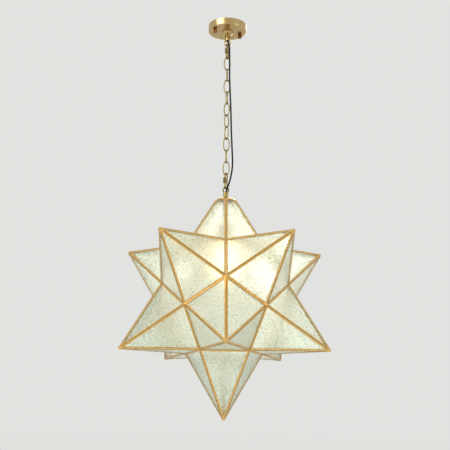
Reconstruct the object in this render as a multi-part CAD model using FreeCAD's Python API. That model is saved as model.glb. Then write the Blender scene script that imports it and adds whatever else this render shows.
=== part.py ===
# Moravian star pendant: a twelve-pointed star of seeded glass in brass came, on a chain from a canopy.
# Millimetres. The origin is the middle of the face that meets the ceiling, and +Z is up.
import FreeCAD, Part
import math
import os

Vec = FreeCAD.Vector

# ---- driving dimensions --------------------------------------------------------------------------
running_gap = 0.3  # between links that hang in each other
thread_gap = 0.05  # radial, between a thread and its nut
slip_gap = 0.2  # radial, between a plain hole and what passes through it

# ceiling crossbar and its studs
bracket_length = 89.0
bracket_width = 18.0
bracket_thickness = 2.0
bracket_azimuth = 27.0  # degrees from +X
mounting_hole_radius = 2.4
mounting_hole_spacing = 52.0
stud_radius = 2.0
stud_spacing = 77.0
terminal_length = 11.0
terminal_width = 16.0
terminal_height = 8.0
terminal_offset = 14.5  # from the crossbar's middle
terminal_screw_radius = 1.5
terminal_screw_depth = 3.0

# canopy
canopy_radius = 52.5
canopy_height = 18.5
canopy_wall = 1.0
canopy_edge_radius = 2.5
thumb_nut_radius = 5.25
thumb_nut_height = 9.0
thumb_nut_collar_radius = 4.2
thumb_nut_collar_height = 2.0
thumb_nut_cap = 1.6  # closed lower end
knurl_count = 20
knurl_depth = 0.45
boss_top_radius = 16.5
boss_bottom_radius = 8.0
boss_height = 8.0
boss_lip = 1.2
boss_bulge = 1.3

# loops: a neck with a ring
loop_neck_radius = 7.4
loop_drop = 25.0  # from the boss down to the middle of the ring
loop_ring_bend = 8.0
loop_wire = 4.0
star_neck_radius = 6.65
star_neck_height = 14.6
star_ring_rise = 21.0  # from the cap up to the middle of the ring
star_ring_bend = 7.2
star_ring_wire = 3.6
loop_bore_radius = 4.0
neck_chamfer = 0.9

# hollow threaded nipples and their locknuts
nipple_radius = 5.0
nipple_bore_radius = 3.6
nipple_engagement = 11.5  # into a loop's neck
canopy_nipple_rise = 4.5  # above the canopy's bottom plate
locknut_flats = 14.0
locknut_height = 3.0

# quick links, with a sleeve nut over the gap in one leg
quick_link_length = 46.4
quick_link_width = 18.0
quick_link_wire = 4.0
quick_link_gap = 5.0
sleeve_flats = 8.0
sleeve_length = 14.0
sleeve_travel = 7.0
top_quick_link_yaw = 70.0
bottom_quick_link_yaw = 64.0

# oval chain links
link_length = 39.8
link_width = 19.4
link_wire = 3.2
link_side_bend = 41.9
link_yaws = (0.0, 82.0, 0.0, 72.0, -32.0, 46.0, -56.0, 16.0, -84.0, -4.0)

# cord, three cores in a round black sheath
cord_diameter = 4.5
cord_start = (0, 0, -32)
cord_route = (
    (0, 0, -46),
    (5.6, -5.9, -59),
    (6.4, -6.2, -88),
    (6.8, -5.6, -138),
    (6.9, -5.3, -159),
    (9.1, -5, -205),
    (11.8, -5, -260),
    (12.4, -4, -297),
    (14.6, -3.5, -342),
    (16.6, -3, -378),
    (17.1, -3, -395),
    (16.6, -3, -410),
    (13.7, -4, -430),
    (9.8, -5, -449),
    (4.8, -5, -462),
    (0, 0, -478),
)
cord_end = (0, 0, -492)
core_radius = 0.9
core_spread = 1.25
core_bend = 3.0
core_pitch = 4.5  # between the terminals

# star
star_radius = 308.0  # to the sharp corner that a point would have
tip_blunting = 3.0  # cut off each sharp corner
tip_length = 8.0  # soldered tip, along the point's axis
tip_proud = 0.9  # the tip stands out over the came
ridge_leg = 5.2
valley_leg = 3.2
came_thickness = 0.9
came_web = 1.2
glass_thickness = 3.0
glass_gap = 0.1
glass_edge_gap = 0.3
seam_gap = 0.3  # between two points' cames, in a valley

# cap on the cut-off top point
rim_radius = 29.15  # of the five-sided rim, to its corners
rim_thickness = 1.5
rim_hole_radius = 11.0
cap_radius = 28.0
cap_height = 10.0
cap_flat_radius = 8.0
cap_bulge = 1.5
cap_wall = 1.2
strap_length = 31.0
strap_width = 12.0
strap_thickness = 2.0

# lampholder and bulb
star_nipple_drop = 66.0  # below the cap's rim, to the lampholder
holder_radius = 20.0
holder_cap_height = 22.0
holder_cap_shoulder = 12.0
holder_neck_radius = 8.0
holder_wall = 1.5
holder_shell_height = 36.0
insert_top = 9.0
insert_clearance = 0.3
thread_sleeve_radius = 14.1
thread_sleeve_wall = 0.4
contact_radius = 4.0
contact_thickness = 0.6
bulb_cap_radius = 13.0
bulb_thread_depth = 0.5
bulb_thread_turns = 4
bulb_cap_length = 26.0
bulb_cap_wall = 0.6
bulb_contact_radius = 4.8
bulb_contact_height = 3.0
bulb_globe_radius = 30.0
bulb_length = 107.0
bulb_neck_start = 50.0  # where the neck leaves the globe, in degrees above its middle
bulb_neck_hollow = 1.2
bulb_glass = 0.8

# access door: the upper point at the back, hinged along its top edge
hinge_pin_radius = 1.0
hinge_pin_offset = 3.9  # from the bottom of the valley, straight out
hinge_knuckle_radius = 2.2
hinge_leaf_width = 6.0
hinge_leaf_thickness = 1.0
hinge_leaf_setback = 1.0
hinge_length = 24.0
hinge_spacing = 70.0
hinge_end_gap = 0.15  # between knuckles
hinge_pin_head = 0.6


# ---- levels, from the ceiling down ---------------------------------------------------------------
canopy_plate = -canopy_height
boss_bottom = canopy_plate - boss_height
loop_centre = boss_bottom - loop_drop
quick_bend = (quick_link_width - quick_link_wire) / 2
quick_reach = (quick_link_length - quick_link_wire) / 2  # centre to the end of the wire's centre line
link_reach = (link_length - link_wire) / 2
link_pitch = 2 * link_reach - link_wire - running_gap


def hook(level, wire_above, wire_below):
    """The centre line of a wire that hangs in one whose lowest centre line is at this level."""
    return level + (wire_above + wire_below) / 2 + running_gap


top_quick_centre = hook(loop_centre - loop_ring_bend, loop_wire, quick_link_wire) - quick_reach
first_link_centre = hook(top_quick_centre - quick_reach, quick_link_wire, link_wire) - link_reach
last_link_centre = first_link_centre - link_pitch * (len(link_yaws) - 1)
bottom_quick_centre = hook(last_link_centre - link_reach, link_wire, quick_link_wire) - quick_reach
star_ring_top = hook(bottom_quick_centre - quick_reach, quick_link_wire, star_ring_wire)
star_ring_centre = star_ring_top - star_ring_bend
cap_top = star_ring_centre - star_ring_rise
rim_top = cap_top - cap_height
rim_bottom = rim_top - rim_thickness
star_neck_top = cap_top + star_neck_height
holder_top = rim_top - star_nipple_drop + nipple_engagement / 2
holder_shell_top = holder_top - holder_cap_height
holder_bottom = holder_shell_top - holder_shell_height
bulb_top = holder_shell_top - insert_top - contact_thickness - 2 * slip_gap
bulb_bottom = bulb_top - bulb_length

# ---- star geometry: a small stellated dodecahedron -----------------------------------------------
golden = (1 + math.sqrt(5)) / 2
fold = math.atan(golden)  # half the angle between two panes, at a ridge and in a valley
pentagon = 2 * math.pi / 5
unit_base = 0.5 / math.sin(pentagon / 2)  # for a core whose edge is 1
unit_height = math.sqrt(golden**2 - unit_base**2)
unit_core = golden**2 / (2 * math.sqrt(3 - golden))
core_edge = star_radius / (unit_core + unit_height)
base_radius = core_edge * unit_base  # of a point's five-sided base, to its corners
base_level = core_edge * unit_core  # of that base, above the star's middle
edge_distance = base_radius * math.cos(pentagon / 2)
point_slope = base_radius / (star_radius - base_level)  # how fast a point's corners spread from its tip
pane_height = math.hypot(edge_distance, star_radius - base_level)
pane_half_angle = math.atan(core_edge / 2 / pane_height)
tip_level = star_radius - tip_blunting
came_end_level = tip_level - tip_length
cut_level = star_radius - rim_radius / point_slope - rim_thickness
star_centre = rim_bottom - cut_level
glass_depth = came_thickness + glass_gap  # of the glass's outer face, below the star's surface
inner_leaf_depth = glass_depth + glass_thickness + glass_gap
came_depth = inner_leaf_depth + came_thickness
first_corner = -90.0  # azimuth of a base corner
far = 2 * star_radius


# ---- small makers --------------------------------------------------------------------------------
def rod(radius, low, high, x=0.0, y=0.0):
    return Part.makeCylinder(radius, high - low, Vec(x, y, low))


def tube(outer, inner, low, high, x=0.0, y=0.0):
    return rod(outer, low, high, x, y).cut(rod(inner, low, high, x, y))


def block(length, width, low, high, x=0.0, y=0.0):
    return Part.makeBox(length, width, high - low, Vec(x - length / 2, y - width / 2, low))


def prism(corners, low, high):
    """A straight prism over (x, y) corners."""
    ring = [Vec(x, y, low) for x, y in corners]
    return Part.Face(Part.makePolygon(ring + ring[:1])).extrude(Vec(0, 0, high - low))


def circle_points(count, radius, start=0.0):
    angles = [math.radians(start + 360.0 * k / count) for k in range(count)]
    return [(radius * math.cos(a), radius * math.sin(a)) for a in angles]


def hexagon(flats, low, high):
    return prism(circle_points(6, flats / math.sqrt(3)), low, high)


def nut(flats, bore, low, high):
    return hexagon(flats, low, high).cut(rod(bore, low, high))


def bulged(start, end, bulge):
    """A point that makes an arc from start to end stand out by bulge, to the right of that way."""
    dx, dz = end[0] - start[0], end[1] - start[1]
    length = math.hypot(dx, dz)
    middle = ((start[0] + end[0]) / 2, (start[1] + end[1]) / 2)
    return (middle[0] + bulge * dz / length, middle[1] - bulge * dx / length)


def turned(start, *steps):
    """A solid of revolution about Z. A step is the next (r, z) corner, or (through, corner) for an arc."""
    here = Vec(start[0], 0, start[1])
    first = here
    edges = []
    for step in steps:
        if isinstance(step[0], tuple):
            through, corner = (Vec(r, 0, z) for r, z in step)
            edges.append(Part.Arc(here, through, corner).toShape())
        else:
            corner = Vec(step[0], 0, step[1])
            edges.append(Part.LineSegment(here, corner).toShape())
        here = corner
    edges.append(Part.LineSegment(here, first).toShape())
    return Part.Face(Part.Wire(edges)).revolve(Vec(), Vec(0, 0, 1), 360)


def turn(shape, azimuth, level=0.0):
    """A copy, turned about Z and lifted to a level."""
    copy = shape.copy()
    copy.rotate(Vec(), Vec(0, 0, 1), azimuth)
    copy.translate(Vec(0, 0, level))
    return copy


def solid_from(faces):
    solid = Part.Solid(Part.Shell(faces))
    if solid.Volume < 0:
        solid.reverse()
    return solid


def polygon_face(corners):
    return Part.Face(Part.makePolygon(list(corners) + [corners[0]]))


def spanned(start_face, end_face):
    """A solid between two outlines with matching corners, whose sides are flat."""
    count = len(start_face)
    sides = []
    for k in range(count):
        after = (k + 1) % count
        sides.append(polygon_face([start_face[k], start_face[after], end_face[after], end_face[k]]))
    return solid_from([polygon_face(start_face), polygon_face(end_face)] + sides)


def below(level):
    """A large block under a level."""
    return Part.makeBox(2 * far, 2 * far, 2 * far, Vec(-far, -far, level - 2 * far))


def write(node, *shapes):
    solids = [solid for shape in shapes for solid in shape.Solids]
    for solid in solids:
        if not solid.isValid() or solid.Volume <= 0:
            print("not a good solid in", node)
    shape = solids[0] if len(solids) == 1 else Part.makeCompound(solids)
    shape.exportStep("parts/" + node + ".step")
    print(f"{node}: {len(solids)} solids, {sum(s.Volume for s in solids):.1f} mm3")


# ---- ceiling fixing and canopy -------------------------------------------------------------------
def bracket_pair(shape, spacing):
    """Two copies, half the spacing each way along the crossbar."""
    copies = []
    for side in (1, -1):
        copy = shape.copy()
        copy.translate(Vec(side * spacing / 2, 0, 0))
        copies.append(turn(copy, bracket_azimuth))
    return copies


def ceiling_crossbar():
    bar = turn(block(bracket_length, bracket_width, -bracket_thickness, 0), bracket_azimuth)
    holes = bracket_pair(rod(stud_radius + thread_gap, -bracket_thickness, 0), stud_spacing)
    holes += bracket_pair(rod(mounting_hole_radius, -bracket_thickness, 0), mounting_hole_spacing)
    for hole in holes:
        bar = bar.cut(hole)
    return bar


def crossbar_studs():
    stud_end = canopy_plate - thumb_nut_height + thumb_nut_cap + slip_gap
    return bracket_pair(rod(stud_radius, stud_end, 0), stud_spacing)


def terminal_block():
    top = -bracket_thickness
    body = block(terminal_length, terminal_width, top - terminal_height, top, terminal_offset)
    bottom = top - terminal_height
    for k in (-1, 0, 1):
        place = (terminal_offset, k * core_pitch)
        body = body.cut(rod(terminal_screw_radius, bottom, bottom + terminal_screw_depth, *place))
    return turn(body, bracket_azimuth)


def canopy():
    inner = canopy_edge_radius - canopy_wall
    turn_in = canopy_radius - canopy_edge_radius
    turn_up = canopy_plate + canopy_edge_radius
    diagonal = math.sqrt(0.5)
    outer_through = (turn_in + canopy_edge_radius * diagonal, turn_up - canopy_edge_radius * diagonal)
    inner_through = (turn_in + inner * diagonal, turn_up - inner * diagonal)
    hole = nipple_radius + slip_gap
    pan = turned(
        (hole, canopy_plate),
        (turn_in, canopy_plate),
        (outer_through, (canopy_radius, turn_up)),
        (canopy_radius, 0),
        (canopy_radius - canopy_wall, 0),
        (canopy_radius - canopy_wall, turn_up),
        (inner_through, (turn_in, canopy_plate + canopy_wall)),
        (hole, canopy_plate + canopy_wall),
    )
    for cutter in bracket_pair(rod(stud_radius + slip_gap, canopy_plate, 0), stud_spacing):
        pan = pan.cut(cutter)
    return pan


def thumb_nut():
    """A knurled nut with a plain collar, closed below, on the stud's axis."""
    top = canopy_plate
    bottom = top - thumb_nut_height
    rim = []
    for k, (x, y) in enumerate(circle_points(2 * knurl_count, 1.0)):
        radius = thumb_nut_radius - (knurl_depth if k % 2 else 0.0)
        rim.append((x * radius, y * radius))
    body = prism(rim, bottom, top - thumb_nut_collar_height)
    body = body.fuse(rod(thumb_nut_collar_radius, bottom, top))
    return body.cut(rod(stud_radius + thread_gap, bottom + thumb_nut_cap, top))


def canopy_boss():
    hole = nipple_radius + slip_gap
    lip = (boss_top_radius, canopy_plate - boss_lip)
    end = (boss_bottom_radius, boss_bottom)
    return turned(
        (hole, canopy_plate),
        (hole, boss_bottom),
        end,
        (bulged(end, lip, boss_bulge), lip),
        (boss_top_radius, canopy_plate),
    )


def ring(bend, wire, level):
    return Part.makeTorus(bend, wire / 2, Vec(0, 0, level), Vec(0, 1, 0))


def canopy_loop():
    low = loop_centre + loop_ring_bend - neck_chamfer
    neck = turned(
        (0, boss_bottom),
        (0, low),
        (loop_neck_radius - neck_chamfer, low),
        (loop_neck_radius, low + neck_chamfer),
        (loop_neck_radius, boss_bottom),
    )
    loop = neck.fuse(ring(loop_ring_bend, loop_wire, loop_centre))
    thread = rod(nipple_radius + thread_gap, boss_bottom - nipple_engagement - slip_gap, boss_bottom)
    return loop.cut(thread).cut(rod(loop_bore_radius, loop_centre, boss_bottom))


def canopy_nipple():
    top = canopy_plate + canopy_wall + canopy_nipple_rise
    return tube(nipple_radius, nipple_bore_radius, boss_bottom - nipple_engagement, top)


def canopy_locknut():
    seat = canopy_plate + canopy_wall
    return nut(locknut_flats, nipple_radius + thread_gap, seat, seat + locknut_height)


# ---- chain ---------------------------------------------------------------------------------------
def bent_wire(middle, bend, wire, start, sweep):
    """Round wire bent about (x, z), from a start angle through a sweep, in degrees from +X to +Z."""
    angle = math.radians(start)
    at = Vec(middle[0] + bend * math.cos(angle), 0, middle[1] + bend * math.sin(angle))
    along = Vec(-math.sin(angle), 0, math.cos(angle))
    section = Part.Face(Part.Wire(Part.makeCircle(wire / 2, at, along)))
    return section.revolve(Vec(middle[0], 0, middle[1]), Vec(0, -1, 0), sweep)


def fused(pieces):
    return pieces[0].multiFuse(pieces[1:]).Solids[0]


def oval_link():
    """A link of four arcs: two sharp ends and two long sides."""
    reach = link_reach
    half_width = (link_width - link_wire) / 2
    side = link_side_bend
    end_bend = (2 * side * half_width - half_width**2 - reach**2) / (2 * (side - reach))
    end_middle = reach - end_bend
    side_middle = side - half_width
    meet = math.degrees(math.atan2(end_middle, side_middle))
    end_sweep = 180 - 2 * meet
    return fused(
        [
            bent_wire((0, end_middle), end_bend, link_wire, meet, end_sweep),
            bent_wire((-side_middle, 0), side, link_wire, -meet, 2 * meet),
            bent_wire((0, -end_middle), end_bend, link_wire, 180 + meet, end_sweep),
            bent_wire((side_middle, 0), side, link_wire, 180 - meet, 2 * meet),
        ]
    )


def quick_link():
    """An open link with straight legs. The leg at -X has a gap, which the sleeve nut covers."""
    leg = quick_reach - quick_bend
    gap_top = -(sleeve_length / 2 - sleeve_travel) - slip_gap
    radius = quick_link_wire / 2
    return fused(
        [
            bent_wire((0, leg), quick_bend, quick_link_wire, 0, 180),
            rod(radius, -leg, leg, quick_bend),
            bent_wire((0, -leg), quick_bend, quick_link_wire, 180, 180),
            rod(radius, gap_top, leg, -quick_bend),
            rod(radius, -leg, gap_top - quick_link_gap, -quick_bend),
        ]
    )


def sleeve_nut():
    sleeve = nut(sleeve_flats, quick_link_wire / 2 + thread_gap, -sleeve_length / 2, sleeve_length / 2)
    sleeve.translate(Vec(-quick_bend, 0, 0))
    return sleeve


# ---- cord and its cores --------------------------------------------------------------------------
def rounded_path(points, radius=None):
    """Straight runs joined by tangent arcs, as large as fits or of one radius, and the arcs' radii."""
    points = [Vec(*p) for p in points]
    edges = []
    radii = []
    here = points[0]
    for before, corner, after in zip(points, points[1:], points[2:]):
        into = (corner - before).normalize()
        out = (after - corner).normalize()
        half = into.getAngle(out) / 2
        room = 0.45 * min((corner - before).Length, (after - corner).Length)
        bend = radius or room / math.tan(half)
        reach = bend * math.tan(half)
        start, end = corner - into * reach, corner + out * reach
        inward = (out - into).normalize()
        through = corner + inward * (bend / math.cos(half) - bend)
        edges.append(Part.LineSegment(here, start).toShape())
        edges.append(Part.Arc(start, through, end).toShape())
        radii.append(bend)
        here = end
    edges.append(Part.LineSegment(here, points[-1]).toShape())
    return Part.Wire(edges), radii


def swept(path, radius):
    first = path.OrderedEdges[0]
    start = first.firstVertex().Point
    section = Part.Wire(Part.makeCircle(radius, start, first.lastVertex().Point - start))
    return path.makePipeShell([section], True, False)


def cord():
    path, radii = rounded_path([cord_start, *cord_route, cord_end])
    solid = swept(path, cord_diameter / 2)
    expected = path.Length * math.pi * (cord_diameter / 2) ** 2
    print("cord length", round(path.Length, 1), "volume share", round(solid.Volume / expected, 5))
    print("cord bend radii", [round(r, 1) for r in radii])
    return solid


def core_places():
    return circle_points(3, core_spread, -120.0)


def supply_cores():
    """The three cores, from the end of the sheath up through the nipple and over to their terminals."""
    level = -bracket_thickness - terminal_height / 2
    face = terminal_offset - terminal_length / 2
    cores = []
    for k, (x, y) in zip((-1, 0, 1), core_places()):
        route = [(x, y, cord_start[2]), (x, y, level), (face, k * core_pitch, level)]
        path = rounded_path(route, core_bend)[0]
        cores.append(turn(swept(path, core_radius), bracket_azimuth).cut(terminal_block()))
    return cores


def lamp_cores():
    return [rod(core_radius, holder_shell_top, cord_end[2], x, y) for x, y in core_places()]


# ---- star points, each made upright about the star's middle --------------------------------------
def face_point(across, up, out):
    """A place on the pane that faces azimuth 90: across it, up it from its base edge, and out of it."""
    rise = (star_radius - base_level) / pane_height
    lean = edge_distance / pane_height
    return Vec(-across, edge_distance - up * lean + out * rise, base_level + up * rise + out * lean)


def pane_half_width(up, inset):
    return core_edge / 2 * (1 - up / pane_height) - inset / math.cos(pane_half_angle)


def seam_up(out, away):
    """How far up the pane the seam plane lies at this depth, and a distance away from it."""
    return out / math.tan(fold) + away / math.sin(fold)


def five(shape):
    return [turn(shape, 72.0 * k) for k in range(5)]


def pane():
    """A three-cornered pane, kept clear of the came's webs."""
    back = -glass_depth - glass_thickness
    ridge_inset = (came_web / 2 - back * math.cos(fold)) / math.sin(fold) + glass_edge_gap
    low = seam_up(-glass_depth, seam_gap / 2 + came_web / 2) + glass_edge_gap
    high = pane_height * (1 - ridge_inset / (core_edge / 2 * math.cos(pane_half_angle)))
    wide = pane_half_width(low, ridge_inset)
    outline = [(-wide, low), (wide, low), (0, high)]
    outer = [face_point(x, up, -glass_depth) for x, up in outline]
    inner = [face_point(x, up, back) for x, up in outline]
    return spanned(outer, inner)


def base_came():
    """The U-shaped strip along a pane's base edge, cut square to the pane where it meets the ridge cames."""
    near = seam_gap / 2
    web = near + came_web / 2
    outline = [
        (seam_up(0, near), 0),
        (valley_leg, 0),
        (valley_leg, -came_thickness),
        (seam_up(-came_thickness, web), -came_thickness),
        (seam_up(-inner_leaf_depth, web), -inner_leaf_depth),
        (valley_leg, -inner_leaf_depth),
        (valley_leg, -came_depth),
        (seam_up(-came_depth, near), -came_depth),
    ]
    right = [face_point(pane_half_width(up, ridge_leg), up, out) for up, out in outline]
    left = [face_point(-pane_half_width(up, ridge_leg), up, out) for up, out in outline]
    return spanned(right, left)


def ridge_place(side, leg, out, down):
    """A place beside the ridge at azimuth -90: a leg's width from it, out of the pane, and down the ridge."""
    length = math.hypot(base_radius, star_radius - base_level)
    fall = (star_radius - base_level) / length
    spread = base_radius / length
    x = leg * math.sin(fold) + out * math.cos(fold)
    y = -leg * math.cos(fold) + out * math.sin(fold)
    return Vec(side * x, -down * spread - y * fall, star_radius - down * fall + y * spread)


def web_leg(out, half_web):
    return (half_web - out * math.cos(fold)) / math.sin(fold)


def ridge_came():
    """The H-shaped strip along a ridge, mitred against its neighbours at the tip and cut at the seams."""
    half_outline = [
        (web_leg(0, 0), 0),
        (ridge_leg, 0),
        (ridge_leg, -came_thickness),
        (web_leg(-came_thickness, came_web / 2), -came_thickness),
        (web_leg(-inner_leaf_depth, came_web / 2), -inner_leaf_depth),
        (ridge_leg, -inner_leaf_depth),
        (ridge_leg, -came_depth),
        (web_leg(-came_depth, 0), -came_depth),
    ]
    ends = []
    for down in (0.0, far):
        right = [ridge_place(1, leg, out, down) for leg, out in half_outline]
        left = [ridge_place(-1, leg, out, down) for leg, out in half_outline[-2:0:-1]]
        ends.append(right + left)
    return spanned(*ends).common(ridge_cell()).common(below(came_end_level))


def ridge_cell():
    """The share of a point's cell that belongs to the ridge at azimuth -90."""
    apex = Vec(0, 0, seam_gap / 2 / math.cos(fold))
    side_x = edge_distance * math.sin(pentagon / 2)
    side_y = -edge_distance * math.cos(pentagon / 2)
    outward = 1.3  # past the star's surface, so that the cell cuts only at the seams and mitres
    point = apex + Vec(0, 0, star_radius) * outward
    corner = apex + Vec(0, -base_radius, base_level) * outward
    left = apex + Vec(-side_x, side_y, base_level) * outward
    right = apex + Vec(side_x, side_y, base_level) * outward
    triangles = (
        (apex, point, left),
        (apex, left, corner),
        (apex, corner, right),
        (apex, right, point),
        (point, left, corner),
        (point, corner, right),
    )
    return solid_from([polygon_face(t) for t in triangles])


def level_pentagon(level, proud=0.0):
    radius = (star_radius - level) * point_slope + proud
    return [Vec(x, y, level) for x, y in circle_points(5, radius, first_corner)]


def tip():
    return spanned(level_pentagon(came_end_level, tip_proud), level_pentagon(tip_level, tip_proud))


def whole_glass():
    return [p.common(below(came_end_level - slip_gap)) for p in five(pane())]


def whole_frame():
    return five(ridge_came()) + five(base_came()) + [tip()]


def cut_off(solids):
    kept = [s.common(below(cut_level)) for s in solids]
    return [s for s in kept if s.Volume > 0]


def aimed(solids, axis, towards):
    """Copies of an upright point's solids in the star, with its axis and its azimuth-90 side aimed."""
    z = axis.normalize()
    y = (towards - z * towards.dot(z)).normalize()
    rotation = FreeCAD.Rotation(y.cross(z), y, z, "ZYX")
    copies = []
    for solid in solids:
        copy = solid.copy()
        copy.Placement = FreeCAD.Placement(Vec(0, 0, star_centre), rotation).multiply(copy.Placement)
        copies.append(copy)
    return copies


def slanting(azimuth, up):
    """The axis of a point of the upper (up 1) or lower (up -1) ring."""
    a = math.radians(azimuth)
    return Vec(2 * math.cos(a), 2 * math.sin(a), up)


DOWN = Vec(0, 0, -1)
door_azimuth = 90.0
upper_azimuths = [-54.0, 18.0, 162.0, 234.0]
lower_azimuths = [-90.0, -18.0, 54.0, 126.0, 198.0]


def upper(solids, azimuth):
    return aimed(solids, slanting(azimuth, 1), Vec(0, 0, 1))


def lower(solids, azimuth):
    return aimed(solids, slanting(azimuth, -1), Vec(0, 0, -1))


# ---- star loop, cap and rim ----------------------------------------------------------------------
def star_loop():
    top = star_neck_top
    neck = turned(
        (0, cap_top),
        (star_neck_radius, cap_top),
        (star_neck_radius, top - neck_chamfer),
        (star_neck_radius - neck_chamfer, top),
        (0, top),
    )
    loop = neck.fuse(ring(star_ring_bend, star_ring_wire, star_ring_centre))
    thread = rod(nipple_radius + thread_gap, cap_top, star_nipple_top() + slip_gap)
    return loop.cut(thread).cut(rod(loop_bore_radius, cap_top, star_ring_centre))


def star_nipple_top():
    return cap_top + star_neck_height / 2


def star_cap():
    hole = nipple_radius + slip_gap
    shoulder = (cap_flat_radius, cap_top)
    edge = (cap_radius, rim_top)
    inner_shoulder = (cap_flat_radius - cap_wall / 2, cap_top - cap_wall)
    inner_edge = (cap_radius - cap_wall, rim_top)
    return turned(
        (hole, cap_top),
        (hole, cap_top - cap_wall),
        inner_shoulder,
        (bulged(inner_edge, inner_shoulder, cap_bulge), inner_edge),
        edge,
        (bulged(edge, shoulder, cap_bulge), shoulder),
    )


def top_rim():
    corners = circle_points(5, (star_radius - cut_level) * point_slope, first_corner)
    return prism(corners, rim_bottom, rim_top).cut(rod(rim_hole_radius, rim_bottom, rim_top))


def cap_strap():
    low = rim_bottom - strap_thickness
    strap = block(strap_length, strap_width, low, rim_bottom)
    return strap.cut(rod(nipple_radius + slip_gap, low, rim_bottom))


def star_nipple():
    low = holder_top - nipple_engagement / 2
    return tube(nipple_radius, nipple_bore_radius, low, star_nipple_top())


def star_locknut():
    seat = rim_bottom - strap_thickness
    return nut(locknut_flats, nipple_radius + thread_gap, seat - locknut_height, seat)


# ---- lampholder and bulb -------------------------------------------------------------------------
def lampholder_cap():
    thread = nipple_radius + thread_gap
    shoulder_end = (holder_radius, holder_top - holder_cap_shoulder)
    neck = (holder_neck_radius, holder_top)
    inner_end = (holder_radius - holder_wall, holder_top - holder_cap_shoulder)
    inner_neck = (holder_neck_radius, holder_top - nipple_engagement / 2 - holder_wall)
    return turned(
        (thread, holder_top),
        (thread, inner_neck[1]),
        inner_neck,
        (bulged(inner_end, inner_neck, holder_wall), inner_end),
        (holder_radius - holder_wall, holder_shell_top),
        (holder_radius, holder_shell_top),
        shoulder_end,
        (bulged(shoulder_end, neck, 2 * holder_wall), neck),
    )


def lampholder_shell():
    return tube(holder_radius, holder_radius - holder_wall, holder_bottom, holder_shell_top)


def lampholder_insert():
    body = rod(holder_radius - holder_wall - insert_clearance, holder_bottom, holder_shell_top)
    return body.cut(rod(thread_sleeve_radius + slip_gap, holder_bottom, holder_shell_top - insert_top))


def lampholder_contacts():
    """The threaded sleeve that takes the bulb, and the centre contact."""
    top = holder_shell_top - insert_top
    sleeve_top = top - contact_thickness - slip_gap
    inner = thread_sleeve_radius - thread_sleeve_wall
    sleeve = tube(thread_sleeve_radius, inner, holder_bottom + holder_wall, sleeve_top)
    return [sleeve, rod(contact_radius, top - contact_thickness, top)]


def bulb_screw_cap():
    """A screw cap with rolled threads, and its contact at the top."""
    low = bulb_top - bulb_cap_length
    rolled_top = bulb_top - 2 * bulb_contact_height
    pitch = (rolled_top - low) / (bulb_thread_turns + 1)
    root = bulb_cap_radius - bulb_thread_depth
    steps = [(root, low + pitch / 2)]
    for k in range(bulb_thread_turns):
        start = (root, low + pitch / 2 + k * pitch)
        end = (root, start[1] + pitch)
        steps.append((bulged(start, end, bulb_thread_depth), end))
    shell = turned(
        (0, low),
        (root, low),
        *steps,
        (root, rolled_top),
        (bulb_contact_radius, bulb_top - bulb_contact_height / 2),
        (bulb_contact_radius, bulb_top),
        (0, bulb_top),
    )
    return shell.cut(rod(root - bulb_cap_wall, low, rolled_top))


def bulb_envelope():
    """A round globe drawn up into a neck, blown thin."""
    neck_top = bulb_top - bulb_cap_length
    middle = bulb_bottom + bulb_globe_radius
    neck_radius = bulb_cap_radius - 2 * bulb_thread_depth

    def outline(inset):
        globe = bulb_globe_radius - inset
        neck = neck_radius - inset
        lean = math.radians(bulb_neck_start)
        leave = (globe * math.cos(lean), middle + globe * math.sin(lean))
        halfway = (lean - math.pi / 2) / 2
        side = (globe * math.cos(halfway), middle + globe * math.sin(halfway))
        collar = (neck, neck_top)
        hollow = bulged(collar, leave, bulb_neck_hollow)
        return (0, middle - globe), (side, leave), (hollow, collar), (0, neck_top)

    outer = turned(*outline(0))
    bottom, globe, neck, closed = outline(bulb_glass)
    return outer.cut(turned(bottom, globe, neck, closed))


# ---- door hinges, along the valley at azimuth 90 of the top point --------------------------------
def hinge_place(along, up, out):
    return face_point(-along, up, out)


pin_up = hinge_pin_offset * math.cos(fold)
pin_out = hinge_pin_offset * math.sin(fold)
knuckle_length = hinge_length / 3


def hinge_bar(outline, start, end):
    """A bar with an (up, out) section, along the hinge."""
    return spanned([hinge_place(start, *p) for p in outline], [hinge_place(end, *p) for p in outline])


def hinge_rod(radius, start, end):
    return Part.makeCylinder(radius, end - start, hinge_place(start, pin_up, pin_out), Vec(1, 0, 0))


def section_box(near, far_side, low, high):
    """The (up, out) corners of a rectangle."""
    return [(near, low), (far_side, low), (far_side, high), (near, high)]


def leaf(knuckles, at):
    """A leaf on the upright point's pane, with knuckles at some of the three stations."""
    start = at - hinge_length / 2
    relief = pin_up + hinge_knuckle_radius + hinge_leaf_thickness
    plate = section_box(relief, relief + hinge_leaf_width, 0, hinge_leaf_thickness)
    pieces = [hinge_bar(plate, start, start + hinge_length)]
    foot = section_box(hinge_leaf_setback, relief, 0, hinge_leaf_thickness)
    web_near, web_far = pin_up - hinge_pin_radius / 2, pin_up + hinge_knuckle_radius
    web = section_box(web_near, web_far, hinge_leaf_thickness / 2, pin_out)
    for k in knuckles:
        low = start + k * knuckle_length + hinge_end_gap
        high = start + (k + 1) * knuckle_length - hinge_end_gap
        pieces += [hinge_bar(foot, low, high), hinge_bar(web, low, high)]
        pieces.append(hinge_rod(hinge_knuckle_radius, low, high))
    bore = hinge_rod(hinge_pin_radius + thread_gap, start - 1, start + hinge_length + 1)
    return pieces[0].multiFuse(pieces[1:]).removeSplitter().cut(bore)


def hinge_pin(at):
    start = at - hinge_length / 2
    shaft = hinge_rod(hinge_pin_radius, start, start + hinge_length)
    head_radius = (hinge_pin_radius + hinge_knuckle_radius) / 2
    return shaft.fuse(hinge_rod(head_radius, start - hinge_pin_head, start))


def across_seam(shape):
    """The mirror image across the valley's seam, which turns a leaf on the top point into one on the door."""
    seam_normal = Vec(0, base_level, -edge_distance).normalize()
    return shape.mirror(Vec(), seam_normal)


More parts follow.
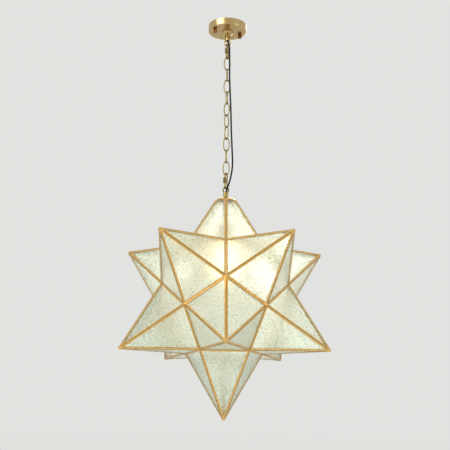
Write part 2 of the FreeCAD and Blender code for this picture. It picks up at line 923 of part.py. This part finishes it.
def at_star(shapes):
    copies = [s.copy() for s in shapes]
    for copy in copies:
        copy.translate(Vec(0, 0, star_centre))
    return copies


hinge_stations = (-hinge_spacing / 2, hinge_spacing / 2)


# ---- write the sub-parts -------------------------------------------------------------------------
def write_ceiling_side():
    write("ceiling_crossbar", ceiling_crossbar())
    write("crossbar_studs", *crossbar_studs())
    write("terminal_block", terminal_block())
    write("supply_cores", *supply_cores())
    write("canopy", canopy())
    right, left = bracket_pair(thumb_nut(), stud_spacing)
    write("thumb_nut_right", right)
    write("thumb_nut_left", left)
    write("canopy_boss", canopy_boss())
    write("canopy_nipple", canopy_nipple())
    write("canopy_locknut", canopy_locknut())
    write("canopy_loop", canopy_loop())


def write_chain():
    for name, level, yaw in (
        ("top_quick_link", top_quick_centre, top_quick_link_yaw),
        ("bottom_quick_link", bottom_quick_centre, bottom_quick_link_yaw),
    ):
        write(name, turn(quick_link(), yaw, level))
        write(name + "_nut", turn(sleeve_nut(), yaw, level))
    link = oval_link()
    for k, yaw in enumerate(link_yaws):
        write(f"chain_link_{k + 1:02d}", turn(link, yaw, first_link_centre - k * link_pitch))
    write("cord", cord())


def write_star():
    frame = whole_frame()
    glass = whole_glass()
    write("top_point_frame", *at_star(cut_off(frame)))
    write("top_point_glass", *at_star(cut_off(glass)))
    write("bottom_point_frame", *aimed(frame, DOWN, slanting(first_corner, -1)))
    write("bottom_point_glass", *aimed(glass, DOWN, slanting(first_corner, -1)))
    write("upper_point_frames", *[s for a in upper_azimuths for s in upper(frame, a)])
    write("lower_point_frames", *[s for a in lower_azimuths for s in lower(frame, a)])
    for k, azimuth in enumerate(upper_azimuths):
        write(f"upper_point_glass_{k + 1}", *upper(glass, azimuth))
    for k, azimuth in enumerate(lower_azimuths):
        write(f"lower_point_glass_{k + 1}", *lower(glass, azimuth))
    write("door_frame", *upper(frame, door_azimuth))
    write("door_glass", *upper(glass, door_azimuth))
    fixed = [leaf((0, 2), at) for at in hinge_stations]
    moving = [across_seam(leaf((1,), at)) for at in hinge_stations]
    write("door_hinge_fixed_leaves", *at_star(fixed))
    write("door_hinge_moving_leaves", *at_star(moving))
    write("door_hinge_pins", *at_star([hinge_pin(at) for at in hinge_stations]))


def write_fittings():
    write("star_loop", star_loop())
    write("star_cap", star_cap())
    write("top_rim", top_rim())
    write("cap_strap", cap_strap())
    write("star_nipple", star_nipple())
    write("star_locknut", star_locknut())
    write("lamp_cores", *lamp_cores())
    write("lampholder_cap", lampholder_cap())
    write("lampholder_shell", lampholder_shell())
    write("lampholder_insert", lampholder_insert())
    write("lampholder_contacts", *lampholder_contacts())
    write("bulb_screw_cap", bulb_screw_cap())
    write("bulb_envelope", bulb_envelope())


os.makedirs("parts", exist_ok=True)
write_ceiling_side()
write_chain()
write_star()
write_fittings()
print("star centre", round(star_centre, 2), "rim", round(rim_top, 2))
print("bulb", round(bulb_top, 2), round(bulb_bottom, 2))
print("links", round(first_link_centre, 2), round(last_link_centre, 2))
print("quick links", round(top_quick_centre, 2), round(bottom_quick_centre, 2))
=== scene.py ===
"""Moravian star pendant, lit: seeded glass in brass came, hung by a chain with a black cord beside it."""
import itertools
import math
import bpy
from mathutils import Matrix, Vector

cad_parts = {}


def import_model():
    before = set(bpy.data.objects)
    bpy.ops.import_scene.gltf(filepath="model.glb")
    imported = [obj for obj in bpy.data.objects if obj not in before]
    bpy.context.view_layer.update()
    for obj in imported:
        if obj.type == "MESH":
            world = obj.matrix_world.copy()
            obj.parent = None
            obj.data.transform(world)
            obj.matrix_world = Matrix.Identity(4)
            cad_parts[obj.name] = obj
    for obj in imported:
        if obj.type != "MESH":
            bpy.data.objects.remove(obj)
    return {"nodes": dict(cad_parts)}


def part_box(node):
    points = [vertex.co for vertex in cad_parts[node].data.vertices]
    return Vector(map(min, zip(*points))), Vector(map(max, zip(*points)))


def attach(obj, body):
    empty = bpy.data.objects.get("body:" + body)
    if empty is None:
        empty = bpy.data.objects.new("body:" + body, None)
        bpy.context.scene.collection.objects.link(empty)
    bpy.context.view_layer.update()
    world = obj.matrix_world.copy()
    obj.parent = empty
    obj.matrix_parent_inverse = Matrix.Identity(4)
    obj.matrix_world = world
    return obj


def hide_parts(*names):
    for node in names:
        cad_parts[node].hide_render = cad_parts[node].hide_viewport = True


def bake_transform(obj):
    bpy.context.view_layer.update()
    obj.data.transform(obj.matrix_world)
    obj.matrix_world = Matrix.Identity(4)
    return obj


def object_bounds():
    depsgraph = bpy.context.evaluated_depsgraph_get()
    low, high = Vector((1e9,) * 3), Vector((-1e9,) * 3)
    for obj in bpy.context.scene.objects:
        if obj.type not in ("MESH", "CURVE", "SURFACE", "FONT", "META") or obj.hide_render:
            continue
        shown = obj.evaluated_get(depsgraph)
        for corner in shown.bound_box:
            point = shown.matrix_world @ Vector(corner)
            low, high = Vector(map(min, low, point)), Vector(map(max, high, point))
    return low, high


MM = 0.001
GOLDEN = (1 + math.sqrt(5)) / 2

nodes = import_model()["nodes"]
cad_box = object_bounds()


# ---- small helpers -------------------------------------------------------------------------------
def middle(node):
    low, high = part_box(node)
    return (low + high) / 2


def link(obj):
    bpy.context.scene.collection.objects.link(obj)
    return obj


def linear(colour):
    """An sRGB hex colour as linear RGBA."""
    channels = [int(colour[i : i + 2], 16) / 255 for i in (1, 3, 5)]
    return (*[c / 12.92 if c <= 0.04045 else ((c + 0.055) / 1.055) ** 2.4 for c in channels], 1)


def add(material, kind, settings=None, stops=(), **inputs):
    """A node with its settings, its evenly spaced colour stops and its inputs.

    An input is a value, a node, which gives its first output, or one output of a node. It is named
    by its label, with _ for a space, or by _ and its number.
    """
    tree = material.node_tree
    node = tree.nodes.new(kind)
    for name, value in (settings or {}).items():
        setattr(node, name, value)
    ramp = node.color_ramp.elements if stops else ()
    while len(ramp) < len(stops):
        ramp.new(0.5)
    for k, colour in enumerate(stops):
        ramp[k].position = k / (len(stops) - 1)
        ramp[k].color = linear(colour)
    for name, value in inputs.items():
        socket = node.inputs[int(name[1:]) if name[1:].isdigit() else name.replace("_", " ")]
        if isinstance(value, bpy.types.Node):
            value = value.outputs[0]
        if isinstance(value, bpy.types.NodeSocket):
            tree.links.new(value, socket)
        else:
            socket.default_value = value
    return node


def new_material(name):
    """A material with no nodes yet."""
    material = bpy.data.materials.new(name)
    material.use_nodes = True
    material.node_tree.nodes.clear()
    return material


# ---- brass ---------------------------------------------------------------------------------------
BRASS_GRIT = 0.8 * MM  # of the polish, drawn coarser than the real one so that it shows
GRIT_DEPTH = 0.02 * MM


def brass(name, bright, dull, smooth, rough, patch):
    """Brass whose colour and roughness drift between a bright and a dull state, in patches."""
    material = new_material(name)
    place = add(material, "ShaderNodeTexCoord").outputs["Object"]
    drift = add(material, "ShaderNodeTexNoise", Vector=place, Scale=1 / (patch * MM), Detail=6.0)
    spread = {"Value": drift, "From_Min": 0.3, "From_Max": 0.7}
    brightness = add(material, "ShaderNodeMapRange", **spread, To_Min=0.0, To_Max=1.0)
    colour = add(material, "ShaderNodeValToRGB", stops=(dull, bright), Fac=brightness)
    roughness = add(material, "ShaderNodeMapRange", **spread, To_Min=rough, To_Max=smooth)
    grit = add(material, "ShaderNodeTexNoise", Vector=place, Scale=1 / BRASS_GRIT, Detail=3.0)
    bump = add(material, "ShaderNodeBump", Height=grit, Distance=GRIT_DEPTH, Strength=1.0)
    shader = add(
        material, "ShaderNodeBsdfPrincipled",
        Metallic=1.0, Base_Color=colour, Roughness=roughness, Normal=bump,
    )
    add(material, "ShaderNodeOutputMaterial", Surface=shader)
    return material


# Spun and turned brass, polished and lacquered: clear reflections that soften in wide, slow patches.
POLISHED_BRASS = brass("polished_brass", "#CCB280", "#B29562", 0.19, 0.27, 20.0)
# Brass-plated chain wire, browned and rubbed: pale glints between olive-brown spots.
ANTIQUE_BRASS = brass("antique_brass", "#B09A66", "#7A683C", 0.26, 0.42, 4.0)
# The quick links and the star's loop, browned for longer: the same glints on a darker olive.
DARK_ANTIQUE_BRASS = brass("dark_antique_brass", "#A48E58", "#6A5A30", 0.24, 0.38, 4.0)
# Folded brass strip, brushed and lacquered: pale gold with soft, long highlights down each leg.
BRASS_CAME = brass("brass_came", "#E8C684", "#CCA25C", 0.22, 0.34, 5.0)
# A thin dark brown line along the fold of a ridge, which parts the two pale legs.
DARK_SEAM_BRASS = brass("dark_seam_brass", "#8E662C", "#5E421A", 0.35, 0.5, 3.0)
# Knurled nuts, coppery from an older lacquer: small warm brown spots under the canopy.
COPPER_BROWN_BRASS = brass("copper_brown_brass", "#A06A3A", "#7C4E2A", 0.25, 0.36, 3.0)


# ---- glass ---------------------------------------------------------------------------------------
SEED_SIZE = 4.0 * MM  # real seeds are 1 to 2 mm across, which doesn't show from 2 m
RIPPLE_SIZE = 7.0 * MM
RIPPLE_DEPTH = 0.5 * MM
GLOBE_DROP = 0.03  # from the middle of the bulb's glass down to the middle of its globe, the centre of the painted glow
PAINTED_GLOW_NEAR = 0.06  # from the globe's middle, where the painted glow on the panes is at its warmest
PAINTED_GLOW_FAR = 0.26


def seeded_glass():
    """Rolled sheet glass full of small bubbles.

    The seeds and ripples scatter the light. Each pane also has a painted glow, emitted by the glass itself:
    ivory near the bulb and faintly green at the tips, with painted sparkles in specks.
    """
    material = new_material("seeded_glass")
    place = add(material, "ShaderNodeTexCoord").outputs["Object"]
    seeds = add(material, "ShaderNodeTexVoronoi", Vector=place, Scale=1 / SEED_SIZE)
    hollow = add(
        material, "ShaderNodeMapRange", Value=seeds, From_Min=0.05, From_Max=0.6, To_Min=0.0, To_Max=1.0
    )
    ripple = add(material, "ShaderNodeTexNoise", Vector=place, Scale=1 / RIPPLE_SIZE, Detail=2.0)
    relief = add(material, "ShaderNodeMath", {"operation": "MULTIPLY_ADD"}, _0=ripple, _1=1.0, _2=hollow)
    bump = add(material, "ShaderNodeBump", Height=relief, Distance=RIPPLE_DEPTH, Strength=1.0)

    # Specks: a random tint in the glass, and painted sparkle in its painted glow.
    grain = add(material, "ShaderNodeTexNoise", Vector=place, Scale=1 / SEED_SIZE, Detail=2.0)
    tint_and_sparkle_specks = add(
        material, "ShaderNodeMapRange", Value=grain, From_Min=0.36, From_Max=0.58, To_Min=0.0, To_Max=1.0
    )
    colour = add(material, "ShaderNodeValToRGB", stops=("#C2CCBB", "#FFFEFA"), Fac=tint_and_sparkle_specks)

    # Painted glow: the panes emit a warm light of their own, which fades with distance from the bulb's
    # globe.
    painted_glow_centre = middle("bulb_envelope") - Vector((0, 0, GLOBE_DROP))
    away = add(material, "ShaderNodeVectorMath", {"operation": "DISTANCE"}, _0=place, _1=painted_glow_centre)
    fall = add(
        material, "ShaderNodeMapRange",
        Value=away.outputs["Value"], From_Min=PAINTED_GLOW_NEAR, From_Max=PAINTED_GLOW_FAR, To_Min=0.0, To_Max=1.0,
    )
    painted_glow_colour = add(material, "ShaderNodeValToRGB", stops=("#766850", "#585648", "#464C42"), Fac=fall)
    # Painted sparkle: the specks dim the painted glow between them.
    painted_sparkle = add(material, "ShaderNodeValToRGB", stops=("#84847E", "#FFFFFF"), Fac=tint_and_sparkle_specks)
    mix = {"data_type": "RGBA", "blend_type": "MULTIPLY"}
    painted_glow = add(material, "ShaderNodeMix", mix, _0=1.0, _6=painted_glow_colour, _7=painted_sparkle)

    shader = add(
        material, "ShaderNodeBsdfPrincipled",
        Transmission_Weight=1.0, IOR=1.45, Roughness=0.3, Base_Color=colour, Normal=bump,
        Emission_Color=painted_glow.outputs[2], Emission_Strength=1.0,
    )
    add(material, "ShaderNodeOutputMaterial", Surface=shader)
    return material


def lit_opal_glass():
    """Blown opal glass over a lit lamp: an even warm white, the brightest spot in the star."""
    material = new_material("opal_bulb")
    place = add(material, "ShaderNodeTexCoord").outputs["Object"]
    orange_peel = add(material, "ShaderNodeTexNoise", Vector=place, Scale=1 / MM, Detail=2.0)
    bump = add(material, "ShaderNodeBump", Height=orange_peel, Distance=0.02 * MM, Strength=1.0)
    shader = add(
        material, "ShaderNodeBsdfPrincipled",
        Base_Color=linear("#F6EBD4"), Roughness=0.35, Normal=bump,
        Emission_Color=linear("#FFE0A8"), Emission_Strength=4.0,
    )
    add(material, "ShaderNodeOutputMaterial", Surface=shader)
    return material


SEEDED_GLASS = seeded_glass()
OPAL_GLASS = lit_opal_glass()


# ---- the hidden fittings' and the cord's finishes ------------------------------------------------
def zinc_plated_steel():
    """Bright zinc on pressed steel: grey, with faint yellow patches from the passivation."""
    material = new_material("zinc_plated_steel")
    place = add(material, "ShaderNodeTexCoord").outputs["Object"]
    patches = add(material, "ShaderNodeTexNoise", Vector=place, Scale=1 / (5.0 * MM), Detail=5.0)
    colour = add(material, "ShaderNodeValToRGB", stops=("#8F9194", "#B9B7AE"), Fac=patches)
    roughness = add(
        material, "ShaderNodeMapRange", Value=patches, From_Min=0.3, From_Max=0.7, To_Min=0.42, To_Max=0.3
    )
    shader = add(
        material, "ShaderNodeBsdfPrincipled", Metallic=1.0, Base_Color=colour, Roughness=roughness
    )
    add(material, "ShaderNodeOutputMaterial", Surface=shader)
    return material


def moulded(name, colour, darker, roughness, shine=0.5):
    """A moulded or glazed surface: one colour, faintly mottled, with the mould's fine grain."""
    material = new_material(name)
    place = add(material, "ShaderNodeTexCoord").outputs["Object"]
    mottle = add(material, "ShaderNodeTexNoise", Vector=place, Scale=1 / (3.0 * MM), Detail=4.0)
    tint = add(material, "ShaderNodeValToRGB", stops=(darker, colour), Fac=mottle)
    grain = add(material, "ShaderNodeTexNoise", Vector=place, Scale=1 / (0.6 * MM), Detail=2.0)
    bump = add(material, "ShaderNodeBump", Height=grain, Distance=0.02 * MM, Strength=1.0)
    shader = add(
        material, "ShaderNodeBsdfPrincipled",
        Base_Color=tint, Roughness=roughness, Specular_IOR_Level=shine, Normal=bump,
    )
    add(material, "ShaderNodeOutputMaterial", Surface=shader)
    return material


ZINC_PLATED_STEEL = zinc_plated_steel()
# Glazed porcelain of the lampholder: cream white with sharp reflections.
GLAZED_PORCELAIN = moulded("glazed_porcelain", "#E9E6DC", "#DEDACD", 0.12)
# Moulded nylon of the terminal block: dull cream.
TERMINAL_NYLON = moulded("terminal_nylon", "#DAD6C8", "#CBC6B5", 0.45)
# Extruded PVC sheath of the cord: black, with only a faint sheen.
BLACK_CORD_SHEATH = moulded("black_cord_sheath", "#0B0A09", "#060505", 0.45, 0.2)
# Extruded PVC round the cores: plain brown.
BROWN_INSULATION = moulded("brown_insulation", "#5B3418", "#4C2A12", 0.45)

FINISHES = {
    "canopy": POLISHED_BRASS,
    "canopy_boss": POLISHED_BRASS,
    "canopy_loop": POLISHED_BRASS,
    "thumb_nut_left": COPPER_BROWN_BRASS,
    "thumb_nut_right": COPPER_BROWN_BRASS,
    "star_loop": DARK_ANTIQUE_BRASS,
    "star_cap": BRASS_CAME,
    "top_rim": BRASS_CAME,
    "terminal_block": TERMINAL_NYLON,
    "supply_cores": BROWN_INSULATION,
    "lamp_cores": BROWN_INSULATION,
    "cord": BLACK_CORD_SHEATH,
    "lampholder_cap": GLAZED_PORCELAIN,
    "lampholder_shell": GLAZED_PORCELAIN,
    "lampholder_insert": GLAZED_PORCELAIN,
    "lampholder_contacts": POLISHED_BRASS,
    "bulb_screw_cap": ZINC_PLATED_STEEL,
    "bulb_envelope": OPAL_GLASS,
}
FAMILY_FINISHES = {
    "quick_link": DARK_ANTIQUE_BRASS,
    "chain_link": ANTIQUE_BRASS,
    "glass": SEEDED_GLASS,
    "frame": BRASS_CAME,
    "door": BRASS_CAME,
}


def finish_nodes():
    """Each node's own finish, or else the first family's that its name has, or else zinc-plated steel."""
    for name, node in nodes.items():
        family = (finish for word, finish in FAMILY_FINISHES.items() if word in name)
        node.data.materials.clear()
        node.data.materials.append(FINISHES.get(name) or next(family, ZINC_PLATED_STEEL))


finish_nodes()


# ---- the star's seams and solder -----------------------------------------------------------------
STAR_RADIUS = 308 * MM  # to the sharp corner of a point
TIP_CUT = 3 * MM  # by which a soldered tip stops short of that corner
STAR_MIDDLE = Vector((0, 0, cad_box[0][2] + STAR_RADIUS - TIP_CUT))
VALLEY_LENGTH = 2 * STAR_RADIUS / (GOLDEN**2 * math.sqrt(GOLDEN * math.sqrt(5)))
CORNER_RADIUS = VALLEY_LENGTH * GOLDEN * math.sqrt(3) / 2  # from the middle out to a valley corner
DOOR_POINT = "upper_0"

SEAM_WIDTH = 0.9 * MM  # on each side of a ridge
SEAM_CREST = 0.12 * MM  # how far its middle stands proud of the came
SEAM_EDGE = 0.06 * MM  # the same at its two edges
SEAM_DEPTH = 0.5 * MM  # how far it is sunk into the came
TIP_SOLDER = 10 * MM  # of a ridge, covered by the solder of the tip
CORNER_SOLDER = 2 * MM

BEAD_RADIUS = 3.6 * MM
BEAD_HEIGHT = 1.6 * MM
BEAD_DEPTH = 1.0 * MM
BEAD_SIDES = 20
BEAD_RINGS = 5


def point_directions():
    """The twelve points' directions, by name: top, bottom and two rings of five."""
    found = {"top": Vector((0, 0, 1)), "bottom": Vector((0, 0, -1))}
    for k in range(5):
        for ring, azimuth, up in (("upper", 90 + 72 * k, 1), ("lower", -90 + 72 * k, -1)):
            turn = math.radians(azimuth)
            found[f"{ring}_{k}"] = Vector((2 * math.cos(turn), 2 * math.sin(turn), up)).normalized()
    return found


def valley_corners(directions):
    """The twenty places where three points meet, each with those points' names."""
    near = 1.2  # between the tips of neighbouring directions it is 1.05, and 1.70 to the next ones
    found = []
    for names in itertools.combinations(directions, 3):
        if all((directions[a] - directions[b]).length < near for a, b in itertools.combinations(names, 2)):
            out = sum((directions[name] for name in names), Vector()).normalized()
            found.append((names, STAR_MIDDLE + out * CORNER_RADIUS))
    return found


def mesh_piece(name, vertices, faces, material, body, smooth):
    """A piece of these vertices and faces that rides on a body."""
    mesh = bpy.data.meshes.new(name)
    mesh.from_pydata(vertices, [], faces)
    mesh.materials.append(material)
    for polygon in mesh.polygons:
        polygon.use_smooth = smooth
    piece = link(bpy.data.objects.new(name, mesh))
    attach(piece, body)


def seam_corners(start, end, left, right, out):
    """The eight corners of a bar along a ridge: at each end its crest, two edges and its foot."""
    section = (
        out * SEAM_CREST,
        left * SEAM_WIDTH + out * SEAM_EDGE,
        -out * SEAM_DEPTH,
        right * SEAM_WIDTH + out * SEAM_EDGE,
    )
    return [at + offset for at in (start, end) for offset in section]


def ridge_seams(tip, corners, start_level):
    """The corners of the bars down a point's ridges, from the tip, or from start_level, to each corner."""
    bars = []
    for corner in corners:
        beside = [c for c in corners if 0 < (c - corner).length < 1.05 * VALLEY_LENGTH]
        down = (corner - tip).normalized()
        across = [(c - corner) - down * (c - corner).dot(down) for c in beside]
        left, right = (side.normalized() for side in across)
        out = -(left + right).normalized()
        top = TIP_SOLDER if start_level is None else (start_level - tip.z) / down.z
        bars.append(seam_corners(tip + down * top, corner - down * CORNER_SOLDER, left, right, out))
    return bars


def darken_seams():
    """A dark brown line along every ridge, where the came's two legs are folded."""
    directions = point_directions()
    corners = valley_corners(directions)
    sides = [(k, (k + 1) % 4, (k + 1) % 4 + 4, k + 4) for k in range(4)]
    bar_faces = (*sides, (3, 2, 1, 0), (4, 5, 6, 7))
    vertices = {"star": [], "door": []}
    for name, out in directions.items():
        own_corners = [at for names, at in corners if name in names]
        start_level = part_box("top_rim")[0].z if name == "top" else None
        for bar in ridge_seams(STAR_MIDDLE + out * STAR_RADIUS, own_corners, start_level):
            vertices["door" if name == DOOR_POINT else "star"] += bar
    for body, places in vertices.items():
        faces = [tuple(first + k for k in face) for first in range(0, len(places), 8) for face in bar_faces]
        mesh_piece(f"{body}_ridge_seams", places, faces, DARK_SEAM_BRASS, body, smooth=False)


def bead(at, out):
    """The vertices of a flat bead at a place: rings from its rim inwards, its top and its foot."""
    side = out.orthogonal().normalized()
    other = out.cross(side)
    vertices = []
    for ring in range(BEAD_RINGS):
        lean = math.pi / 2 * ring / BEAD_RINGS
        for k in range(BEAD_SIDES):
            turn = 2 * math.pi * k / BEAD_SIDES
            flat = (side * math.cos(turn) + other * math.sin(turn)) * BEAD_RADIUS * math.cos(lean)
            vertices.append(at + flat + out * BEAD_HEIGHT * math.sin(lean))
    return [*vertices, at + out * BEAD_HEIGHT, at - out * BEAD_DEPTH]


def bead_faces(first):
    """The faces of a bead whose vertices start at this number."""
    top = first + BEAD_RINGS * BEAD_SIDES
    last_ring = top - BEAD_SIDES
    faces = []
    for k in range(BEAD_SIDES):
        beside = (k + 1) % BEAD_SIDES
        for ring in range(first, last_ring, BEAD_SIDES):
            faces.append((ring + k, ring + beside, ring + beside + BEAD_SIDES, ring + k + BEAD_SIDES))
        faces.append((last_ring + k, last_ring + beside, top))
        faces.append((first + beside, first + k, top + 1))
    return faces


def solder_corners():
    """A bead of solder in each corner where three points meet, apart from those of the door."""
    vertices, faces = [], []
    for names, corner in valley_corners(point_directions()):
        if DOOR_POINT not in names:
            faces += bead_faces(len(vertices))
            vertices += bead(corner, (corner - STAR_MIDDLE).normalized())
    mesh_piece("corner_solder", vertices, faces, BRASS_CAME, "star", smooth=True)


darken_seams()
solder_corners()


# ---- the cord, in one stretch for each joint of the chain ----------------------------------------
CORD_DIAMETER = 4.5 * MM
CORD_SIDES = 20
# the route of the part's source, in millimetres from the middle of the ceiling face
CORD_ROUTE = (
    (0, 0, -32),
    (0, 0, -46),
    (5.6, -5.9, -59),
    (6.4, -6.2, -88),
    (6.8, -5.6, -138),
    (6.9, -5.3, -159),
    (9.1, -5, -205),
    (11.8, -5, -260),
    (12.4, -4, -297),
    (14.6, -3.5, -342),
    (16.6, -3, -378),
    (17.1, -3, -395),
    (16.6, -3, -410),
    (13.7, -4, -430),
    (9.8, -5, -449),
    (4.8, -5, -462),
    (0, 0, -478),
    (0, 0, -492),
)


def smooth_line(route):
    """Points along the NURBS curve that has the route's points as its control points."""
    curve = bpy.data.curves.new("cord_line", "CURVE")
    curve.dimensions = "3D"
    curve.resolution_u = 16
    spline = curve.splines.new("NURBS")
    spline.points.add(len(route) - 1)
    for point, at in zip(spline.points, route):
        point.co = (*[x * MM for x in at], 1)
    spline.order_u = 3
    spline.use_endpoint_u = True
    line = link(bpy.data.objects.new("cord_line", curve))
    mesh = bpy.data.meshes.new_from_object(line)
    points = [v.co.copy() for v in mesh.vertices]
    bpy.data.objects.remove(line)
    return points


def cut_at(points, levels):
    """The line in pieces, cut where it passes each level, from the top down."""
    pieces, current, waiting = [], [points[0]], list(levels)
    for a, b in zip(points, points[1:]):
        while waiting and b.z < waiting[0]:
            cut = a.lerp(b, (a.z - waiting[0]) / (a.z - b.z))
            current.append(cut)
            pieces.append(current)
            current = [cut]
            waiting.pop(0)
        current.append(b)
    return [*pieces, current]


def tube_along(name, points, start_side):
    """The sheath along these points, with closed ends, and its last side.

    start_side is the last side of the tube before it, so that their corners meet.
    """
    vertices, faces, side = [], [], start_side
    for k, at in enumerate(points):
        along = (points[min(k + 1, len(points) - 1)] - points[max(k - 1, 0)]).normalized()
        side = (side - along * side.dot(along)).normalized()
        other = along.cross(side)
        for j in range(CORD_SIDES):
            turn = 2 * math.pi * j / CORD_SIDES
            vertices.append(at + CORD_DIAMETER / 2 * (math.cos(turn) * side + math.sin(turn) * other))
    for k in range(len(points) - 1):
        for j in range(CORD_SIDES):
            here, beside = k * CORD_SIDES + j, k * CORD_SIDES + (j + 1) % CORD_SIDES
            faces.append((here, beside, beside + CORD_SIDES, here + CORD_SIDES))
    last = (len(points) - 1) * CORD_SIDES
    faces.append(tuple(reversed(range(CORD_SIDES))))
    faces.append(tuple(range(last, last + CORD_SIDES)))
    mesh = bpy.data.meshes.new(name)
    mesh.from_pydata(vertices, [], faces)
    mesh.materials.append(BLACK_CORD_SHEATH)
    for polygon in mesh.polygons:
        polygon.use_smooth = len(polygon.vertices) == 4
    return link(bpy.data.objects.new(name, mesh)), side


def hang_cord():
    """The cord in pieces, cut where it passes the middle of each body of the chain, and bending along its
    route.
    """
    chain = ["top_quick_link"] + [f"chain_link_{k:02d}" for k in range(1, 11)] + ["bottom_quick_link"]
    levels = [middle(body).z for body in chain]
    side = Vector((1, 0, 0))
    for k, points in enumerate(cut_at(smooth_line(CORD_ROUTE), levels)):
        tube, side = tube_along(f"cord_{k + 1:02d}", points, side)
        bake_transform(tube)
        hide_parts("cord")


hang_cord()


# ---- camera, light and the pale room -------------------------------------------------------------
# the viewpoint, found by fitting the star's corners
VIEWPOINT = (-0.0366, -2.2668, -1.0940)
VIEW_YAW = -0.893
VIEW_PITCH = 13.13
VIEW_ROLL = -0.610
VIEW_LENS = 71.01
SENSOR_WIDTH = 36

FLOOR_LEVEL = -3.4
FLOOR_RADIUS = 40.0


def set_camera():
    yaw, pitch, roll = (math.radians(angle) for angle in (VIEW_YAW, VIEW_PITCH, VIEW_ROLL))
    turn = Matrix.Rotation(yaw, 3, "Z") @ Matrix.Rotation(pitch, 3, "X") @ Matrix.Rotation(roll, 3, "Y")
    right, forward, up = turn.col
    camera = bpy.data.cameras.new("camera")
    camera.sensor_width = SENSOR_WIDTH
    camera.lens = VIEW_LENS
    camera.clip_end = 50
    obj = link(bpy.data.objects.new("camera", camera))
    basis = Matrix((right, up, -forward)).transposed()
    obj.matrix_world = Matrix.Translation(VIEWPOINT) @ basis.to_4x4()
    bpy.context.scene.camera = obj


def lamp(name, at, size, power):
    """A soft square lamp at a place, turned to the star."""
    light = bpy.data.lights.new(name, "AREA")
    light.size = size
    light.energy = power
    obj = link(bpy.data.objects.new(name, light))
    turn = (STAR_MIDDLE - Vector(at)).to_track_quat("-Z", "Y")
    obj.matrix_world = Matrix.Translation(at) @ turn.to_matrix().to_4x4()


def pale_floor():
    """A plain pale floor far below the star."""
    material = new_material("pale_floor")
    shader = add(material, "ShaderNodeBsdfPrincipled", Base_Color=linear("#F8F8F5"), Roughness=0.8)
    add(material, "ShaderNodeOutputMaterial", Surface=shader)
    bpy.ops.mesh.primitive_circle_add(
        vertices=96, radius=FLOOR_RADIUS, fill_type="NGON", location=(0, 0, FLOOR_LEVEL)
    )
    floor = bpy.context.object
    floor.name = "floor"
    floor.data.materials.append(material)


def pale_world():
    """A pale backdrop that the eye, gloss and glass see, and a softer light from above for the rest."""
    world = bpy.data.worlds.new("pale_world")
    world.use_nodes = True
    world.node_tree.nodes.clear()
    bpy.context.scene.world = world
    direction = add(world, "ShaderNodeTexCoord").outputs["Generated"]
    height = add(world, "ShaderNodeSeparateXYZ", Vector=direction).outputs["Z"]
    level = add(
        world, "ShaderNodeMapRange", Value=height, From_Min=-1.0, From_Max=1.0, To_Min=0.0, To_Max=1.0
    )
    daylight = ("#8E8A84", "#565350", "#77736E", "#E8E6E2", "#FFFFFF")
    shade = add(world, "ShaderNodeValToRGB", stops=daylight, Fac=level)
    light = add(world, "ShaderNodeBackground", Color=shade, Strength=0.9)
    plain_wall = ("#7E7A74", "#A8A49C", "#E2E3E0", "#E2E3E0", "#FFFFFF")
    wall = add(world, "ShaderNodeValToRGB", stops=plain_wall, Fac=level)
    backdrop = add(world, "ShaderNodeBackground", Color=wall, Strength=1.0)

    ray = add(world, "ShaderNodeLightPath").outputs
    either = {"operation": "MAXIMUM"}
    seen = add(world, "ShaderNodeMath", either, _0=ray["Is Camera Ray"], _1=ray["Is Transmission Ray"])
    seen = add(world, "ShaderNodeMath", either, _0=seen, _1=ray["Is Glossy Ray"])
    mix = add(world, "ShaderNodeMixShader", _0=seen, _1=light, _2=backdrop)
    add(world, "ShaderNodeOutputWorld", Surface=mix)


set_camera()
pale_world()
pale_floor()
lamp("key", (-2.2, -2.2, 0.6), 2.2, 60)
lamp("fill", (2.4, -1.8, -0.2), 1.6, 22)
lamp("back", (0.6, 2.4, 0.5), 1.6, 24)
bpy.context.scene.view_settings.view_transform = "Standard"
